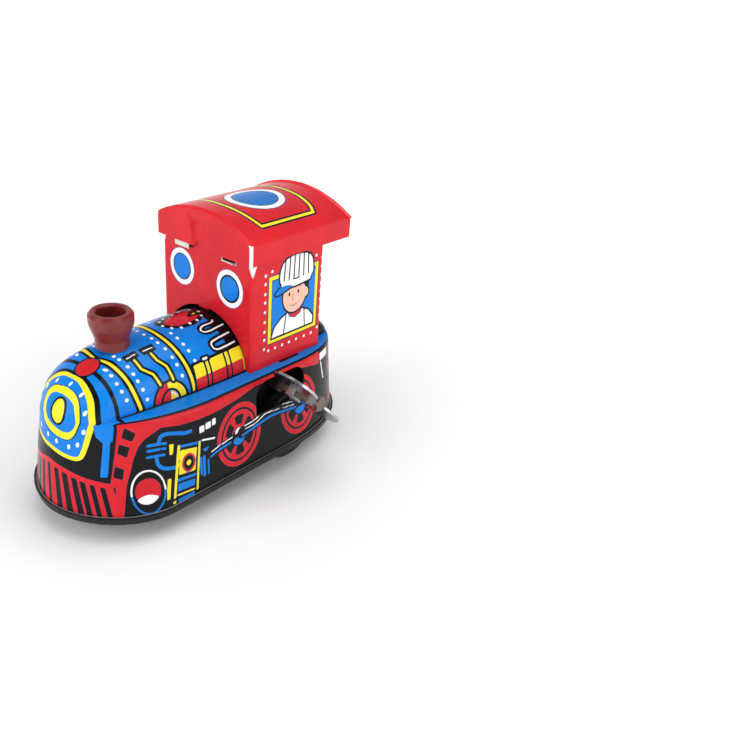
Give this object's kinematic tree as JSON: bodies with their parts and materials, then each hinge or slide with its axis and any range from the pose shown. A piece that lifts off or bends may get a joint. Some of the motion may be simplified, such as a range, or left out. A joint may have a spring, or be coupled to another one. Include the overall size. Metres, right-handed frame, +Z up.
{
  "type": "clockwork toy locomotive",
  "caption": "Tin clockwork toy locomotive: printed body on a black base pan, cab with arched roof, smokestack, side key, and a spring motor geared to the rear wheels.",
  "frame": {"origin": "centre of the base pan's flat underside", "axes": "+X towards the nose, +Y towards the key, +Z up"},
  "size_m": [0.0876, 0.0542, 0.067],
  "materials": {
    "body_print": "glossy printed tin",
    "cab_print": "glossy printed tin",
    "roof_print": "glossy printed tin",
    "pan_black": "satin black enamel",
    "stack_maroon": "thick brushed lacquer",
    "key_nickel": "nickel plated",
    "bright_steel": "bright wire",
    "plate_steel": "bare tinplate",
    "spring_steel": "blued spring band",
    "gear_brass": "stamped brass",
    "wheel_black": "moulded, slightly rubbed"
  },
  "bodies": {
    "chassis": {"body_shell": "body_print", "base_pan": "pan_black", "cab": "cab_print", "roof": "roof_print", "smokestack": "stack_maroon", "stack_push_nut": "bright_steel", "motor_plate_left": "plate_steel", "motor_plate_right": "plate_steel", "motor_pillars": "bright_steel", "motor_rivets": "bright_steel", "mainspring": "spring_steel", "front_axle_bracket": "plate_steel", "bracket_rivets": "bright_steel"},
    "winding": {"key": "key_nickel", "winding_arbor": "key_nickel", "ratchet_wheel": "bright_steel", "great_wheel": "gear_brass", "click_pin": "bright_steel", "click_spring": "spring_steel"},
    "click": {"click": "bright_steel"},
    "second_shaft": {"second_arbor": "bright_steel", "second_pinion": "gear_brass", "second_gear": "gear_brass"},
    "rear_wheels": {"rear_axle": "bright_steel", "axle_pinion": "gear_brass", "rear_wheel_left": "wheel_black", "rear_wheel_right": "wheel_black"},
    "governor": {"governor_arbor": "bright_steel", "governor_pinion": "gear_brass", "governor_flywheel": "gear_brass"},
    "front_wheels": {"front_axle": "bright_steel", "front_wheel_left": "wheel_black", "front_wheel_right": "wheel_black"}
  },
  "joints": [
    {"name": "key_turn", "type": "hinge", "parent": "chassis", "child": "winding", "pos_m": [-0.0107, 0, 0.0199], "axis": [0, 1, 0], "continuous": true},
    {"name": "click_lift", "type": "hinge", "parent": "winding", "child": "click", "pos_m": [-0.00646, 0, 0.02496], "axis": [0, -1, 0], "range_deg": [0, 10]},
    {"name": "second_turn", "type": "hinge", "parent": "chassis", "child": "second_shaft", "pos_m": [-0.0082, 0, 0.00868], "axis": [0, 1, 0], "continuous": true},
    {"name": "rear_wheels_turn", "type": "hinge", "parent": "chassis", "child": "rear_wheels", "pos_m": [-0.017, 0, 0.0051], "axis": [0, 1, 0], "continuous": true},
    {"name": "governor_turn", "type": "hinge", "parent": "chassis", "child": "governor", "pos_m": [0.0013, 0, 0.00868], "axis": [0, 1, 0], "continuous": true},
    {"name": "front_wheels_turn", "type": "hinge", "parent": "chassis", "child": "front_wheels", "pos_m": [0.024, 0, 0.0023], "axis": [0, 1, 0], "continuous": true}
  ],
  "couplings": [
    {"joint": "second_turn", "follows": "key_turn", "ratio": -3.6},
    {"joint": "rear_wheels_turn", "follows": "key_turn", "ratio": 10.08},
    {"joint": "governor_turn", "follows": "key_turn", "ratio": 10.08}
  ]
}
